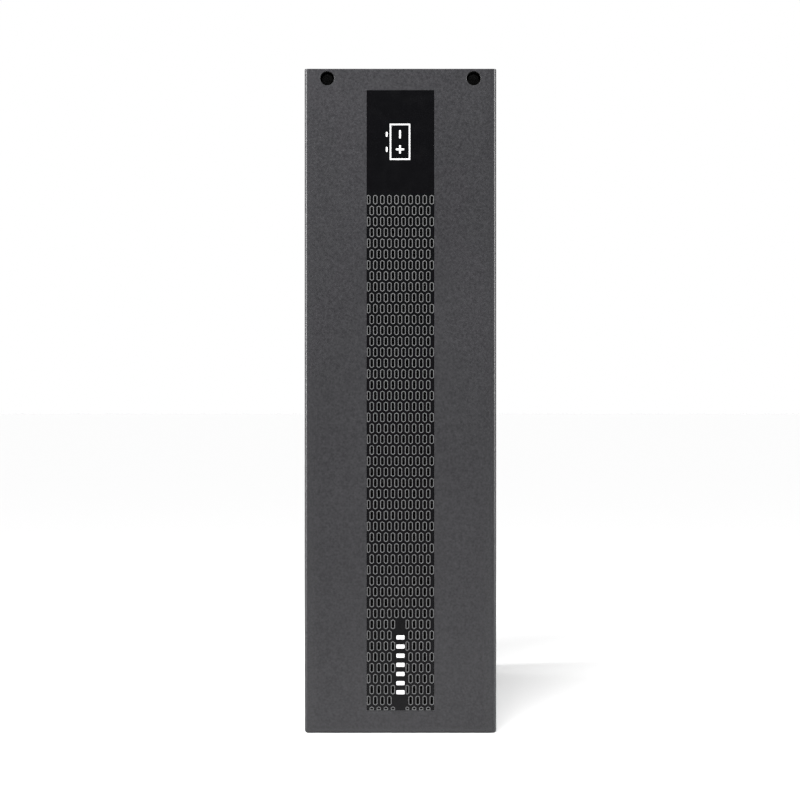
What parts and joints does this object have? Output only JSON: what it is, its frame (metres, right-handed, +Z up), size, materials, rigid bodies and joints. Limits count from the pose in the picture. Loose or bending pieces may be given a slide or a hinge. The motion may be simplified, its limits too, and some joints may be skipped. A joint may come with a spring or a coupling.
{
  "type": "rack and tower battery module",
  "caption": "Upright rack or tower battery module with a dark grey moulded front, a black honeycomb grille strip, a steel case and sliding battery trays.",
  "frame": {"origin": "middle of the footprint, on the surface that the module stands on", "axes": "+Z up as it stands on end, -Y out of the front with the grille, +X right as seen from the front; in a rack it lies on its +X side"},
  "size_m": [0.127, 0.594, 0.44],
  "materials": {
    "cover_grey": "fine spark-eroded grain, dark grey",
    "grille_black": "smooth black moulding, low sheen",
    "rim_grey": "light grey second-shot rim",
    "mark_white": "white print",
    "filter_foam": "black open-cell foam",
    "black_steel": "black zinc plated screws",
    "case_paint": "black powder coat",
    "zinc_sheet": "bright zinc plated sheet",
    "bright_steel": "nickel plated steel",
    "nylon": "natural nylon",
    "socket_black": "black glass-filled nylon",
    "breaker_grey": "light grey moulding",
    "toggle_black": "black lever",
    "contact_metal": "silver plated contacts",
    "board_green": "green circuit board",
    "brass": "plain brass",
    "wire_red": "red insulation",
    "wire_black": "black insulation",
    "wire_green": "green and yellow insulation",
    "fuse_body": "ceramic fuse in a pale holder",
    "battery_case": "dark grey battery jar and lid",
    "plate_pack": "lead plates and glass mat, as heavy as cast iron"
  },
  "bodies": {
    "chassis": {"bay_divider": "zinc_sheet", "breaker_body": "breaker_grey", "breaker_rail": "zinc_sheet", "chassis_lid": "case_paint", "chassis_pan": "case_paint", "clinch_nuts": "bright_steel", "detection_board": "board_green", "detection_ports": "socket_black", "earth_terminal": "brass", "earth_wire": "wire_green", "harness_black": "wire_black", "harness_red": "wire_red", "lid_screws": "black_steel", "output_contacts": "contact_metal", "output_sockets": "socket_black", "rear_panel": "case_paint", "rear_screws": "bright_steel", "receptacle_bulkhead": "zinc_sheet", "tray_guides": "nylon", "tray_receptacles": "socket_black"},
    "front_cover": {"front_cover_shell": "cover_grey", "front_grille": "grille_black", "grille_rims": "rim_grey", "front_marks": "mark_white", "dust_filter": "filter_foam", "filter_retainer": "grille_black", "cover_screws": "black_steel"},
    "lower_tray_set": {"lower_battery_1": "battery_case", "lower_battery_2": "battery_case", "lower_battery_3": "battery_case", "lower_battery_4": "battery_case", "lower_battery_5": "battery_case", "lower_battery_6": "battery_case", "lower_battery_7": "battery_case", "lower_battery_8": "battery_case", "lower_tray": "zinc_sheet", "lower_tray_cells": "plate_pack", "lower_tray_fuse": "fuse_body", "lower_tray_handle": "bright_steel", "lower_tray_links": "wire_red", "lower_tray_plug": "socket_black", "lower_tray_straps": "zinc_sheet", "lower_tray_thumbscrews": "bright_steel"},
    "upper_tray_set": {"upper_battery_1": "battery_case", "upper_battery_2": "battery_case", "upper_battery_3": "battery_case", "upper_battery_4": "battery_case", "upper_battery_5": "battery_case", "upper_battery_6": "battery_case", "upper_battery_7": "battery_case", "upper_battery_8": "battery_case", "upper_tray": "zinc_sheet", "upper_tray_cells": "plate_pack", "upper_tray_fuse": "fuse_body", "upper_tray_handle": "bright_steel", "upper_tray_links": "wire_red", "upper_tray_plug": "socket_black", "upper_tray_straps": "zinc_sheet", "upper_tray_thumbscrews": "bright_steel"},
    "breaker_lever": {"breaker_toggle": "toggle_black"}
  },
  "joints": [
    {"name": "upper_tray_slide", "type": "slide", "parent": "chassis", "child": "upper_tray_set", "axis": [0, -1, 0], "range_m": [0, 0.4]},
    {"name": "lower_tray_slide", "type": "slide", "parent": "chassis", "child": "lower_tray_set", "axis": [0, -1, 0], "range_m": [0, 0.4]},
    {"name": "front_cover_pull", "type": "slide", "parent": "chassis", "child": "front_cover", "axis": [0, -1, 0], "range_m": [0, 0.64]},
    {"name": "breaker_lever_turn", "type": "hinge", "parent": "chassis", "child": "breaker_lever", "pos_m": [0, 0.281, 0.12], "axis": [0, 0, 1], "range_deg": [0, 80]}
  ],
  "couplings": [
    {"joint": "lower_tray_slide", "follows": "upper_tray_slide", "ratio": 1},
    {"joint": "front_cover_pull", "follows": "upper_tray_slide", "ratio": 1.6}
  ]
}
